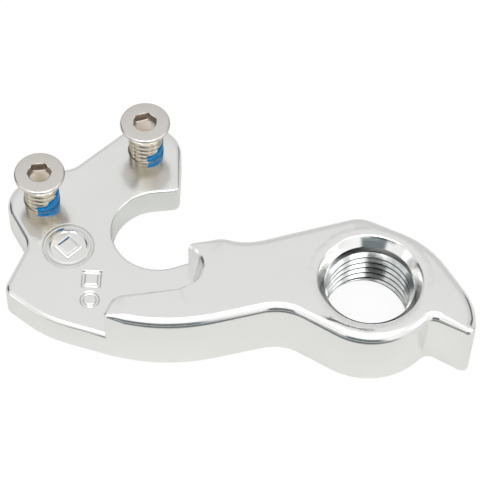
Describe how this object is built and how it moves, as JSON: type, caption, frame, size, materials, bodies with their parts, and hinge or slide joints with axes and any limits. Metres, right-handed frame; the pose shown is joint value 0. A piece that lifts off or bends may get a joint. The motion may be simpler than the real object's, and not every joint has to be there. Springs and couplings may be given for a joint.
{
  "type": "derailleur hanger",
  "caption": "Flat plate with a round axle opening and a thicker curved arm that holds a rear derailleur at a threaded hole, with its fixing screws.",
  "frame": {"origin": "on the derailleur hole's axis, at the hanger's flat back face", "axes": "+Z along the derailleur hole's axis, out of its countersunk mouth; +X along the arm, away from the axle opening; +Y towards the side where the plate's ears and screws are"},
  "size_m": [0.0524, 0.0311, 0.0092],
  "materials": {
    "alloy": "forged, machined and brightly polished, clear silver",
    "screw_steel": "nickel-plated, slightly satin",
    "lock_patch": "blue nylon locking patch, sprayed on the thread"
  },
  "bodies": {
    "root": {"hanger": "alloy", "left_screw": "screw_steel", "right_screw": "screw_steel", "left_thread_patch": "lock_patch", "right_thread_patch": "lock_patch"}
  },
  "joints": []
}
